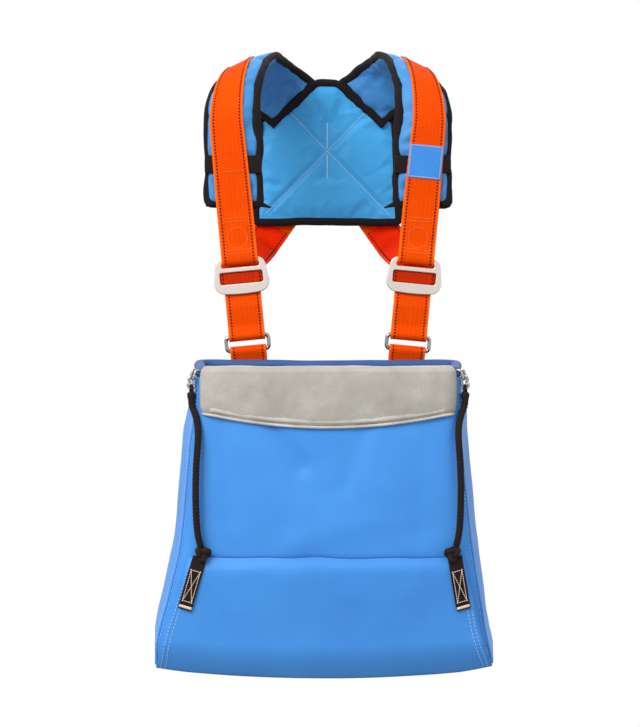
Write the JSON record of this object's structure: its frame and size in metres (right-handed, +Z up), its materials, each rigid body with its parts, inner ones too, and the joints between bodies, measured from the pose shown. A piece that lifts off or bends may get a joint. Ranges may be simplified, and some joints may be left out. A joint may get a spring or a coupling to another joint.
{
  "type": "harvest bag",
  "caption": "Fruit picking bag worn in front on a padded shoulder harness, with a drop-bottom chute held shut by hooked cords.",
  "frame": {"origin": "between the shoulders, on the underside of the shoulder pads at their crest", "axes": "+Z up as worn, -Y to the wearer's front, +X to the right as seen from the front"},
  "size_m": [0.4288, 0.4391, 0.7743],
  "materials": {
    "blue_cloth": "padded polyester cloth, matt with a soft sheen",
    "bag_cloth": "coated polyester cloth, fine weave",
    "edge_binding": "black woven binding tape",
    "orange_webbing": "orange woven webbing with sewn edges",
    "label_cloth": "plain woven label",
    "buckle_metal": "satin cast",
    "bright_wire": "plated steel wire",
    "hook_wire": "plated steel wire",
    "rim_rod": "plain drawn rod",
    "grey_cover": "grey padded cloth",
    "black_tape": "black webbing sewn with pale thread",
    "black_cord": "braided black cord"
  },
  "bodies": {
    "harness": {"shoulder_pad_left": "blue_cloth", "shoulder_pad_right": "blue_cloth", "back_panel": "blue_cloth", "back_panel_binding": "edge_binding", "pad_binding_left": "edge_binding", "pad_binding_right": "edge_binding", "keeper_band_left": "edge_binding", "keeper_band_right": "edge_binding", "strap_label": "label_cloth", "buckle_frame_left": "buckle_metal", "buckle_frame_right": "buckle_metal", "shoulder_strap_left": "orange_webbing", "shoulder_strap_right": "orange_webbing", "back_strap_left": "orange_webbing", "back_strap_right": "orange_webbing", "side_strap_left": "orange_webbing", "side_strap_right": "orange_webbing", "lower_strap_left": "orange_webbing", "lower_strap_right": "orange_webbing", "buckle_guard_left": "orange_webbing", "buckle_guard_right": "orange_webbing", "buckle_pin_left": "bright_wire", "buckle_pin_right": "bright_wire"},
    "ring_left": {"strap_ring_left": "bright_wire"},
    "ring_right": {"strap_ring_right": "bright_wire"},
    "bag": {"bag_front_panel": "bag_cloth", "bag_back_panel": "bag_cloth", "rim_frame": "rim_rod", "rim_hem": "bag_cloth", "rim_pad": "grey_cover", "rim_piping": "grey_cover", "bag_gusset_left": "bag_cloth", "bag_gusset_right": "bag_cloth", "bag_tab_left": "orange_webbing", "bag_tab_right": "orange_webbing", "rim_eye_left": "hook_wire", "rim_eye_right": "hook_wire", "chute_bellows_left": "bag_cloth", "chute_bellows_right": "bag_cloth"},
    "hook_left": {"cord_hook_left": "hook_wire"},
    "hook_right": {"cord_hook_right": "hook_wire"},
    "chute_floor": {"chute_floor": "bag_cloth"},
    "chute_flap": {"chute_flap": "bag_cloth", "flap_tab_left": "black_tape", "flap_tab_right": "black_tape", "cord_left": "black_cord", "cord_right": "black_cord", "cord_knot_left": "black_cord", "cord_knot_right": "black_cord", "cord_loop_left": "black_cord", "cord_loop_right": "black_cord", "cord_sleeve_left": "black_cord", "cord_sleeve_right": "black_cord"},
    "chute_lining": {"chute_lining": "bag_cloth"}
  },
  "joints": [
    {"name": "ring_left_swing", "type": "hinge", "parent": "harness", "child": "ring_left", "pos_m": [-0.10385, -0.115, -0.34704], "axis": [-1, 0, 0], "range_deg": [0, 30]},
    {"name": "ring_right_swing", "type": "hinge", "parent": "harness", "child": "ring_right", "pos_m": [0.10385, -0.115, -0.34704], "axis": [-1, 0, 0], "range_deg": [0, 30]},
    {"name": "bag_swing", "type": "hinge", "parent": "ring_left", "child": "bag", "pos_m": [-0.10215, -0.115, -0.36496], "axis": [-1, 0, 0], "range_deg": [0, 30]},
    {"name": "chute_floor_drop", "type": "hinge", "parent": "bag", "child": "chute_floor", "pos_m": [0, -0.11935, -0.74086], "axis": [1, 0, 0], "range_deg": [0, 90], "deforming": ["cord_loop_left", "cord_loop_right", "chute_bellows_left", "chute_bellows_right"]},
    {"name": "chute_flap_fold", "type": "hinge", "parent": "chute_floor", "child": "chute_flap", "pos_m": [0, -0.30395, -0.74086], "axis": [1, 0, 0], "range_deg": [0, 90]},
    {"name": "chute_lining_fold", "type": "hinge", "parent": "bag", "child": "chute_lining", "pos_m": [0, -0.30115, -0.73806], "axis": [1, 0, 0], "range_deg": [0, 180]},
    {"name": "hook_left_swing", "type": "hinge", "parent": "bag", "child": "hook_left", "pos_m": [-0.16532, -0.29116, -0.39146], "axis": [-0.4067, 0.9135, 0], "range_deg": [0, 60]},
    {"name": "hook_right_swing", "type": "hinge", "parent": "bag", "child": "hook_right", "pos_m": [0.16532, -0.29116, -0.39146], "axis": [-0.4067, -0.9135, 0], "range_deg": [0, 60]}
  ],
  "couplings": [
    {"joint": "ring_right_swing", "follows": "ring_left_swing", "ratio": 1},
    {"joint": "chute_flap_fold", "follows": "chute_floor_drop", "ratio": 1},
    {"joint": "chute_lining_fold", "follows": "chute_floor_drop", "ratio": 2}
  ]
}
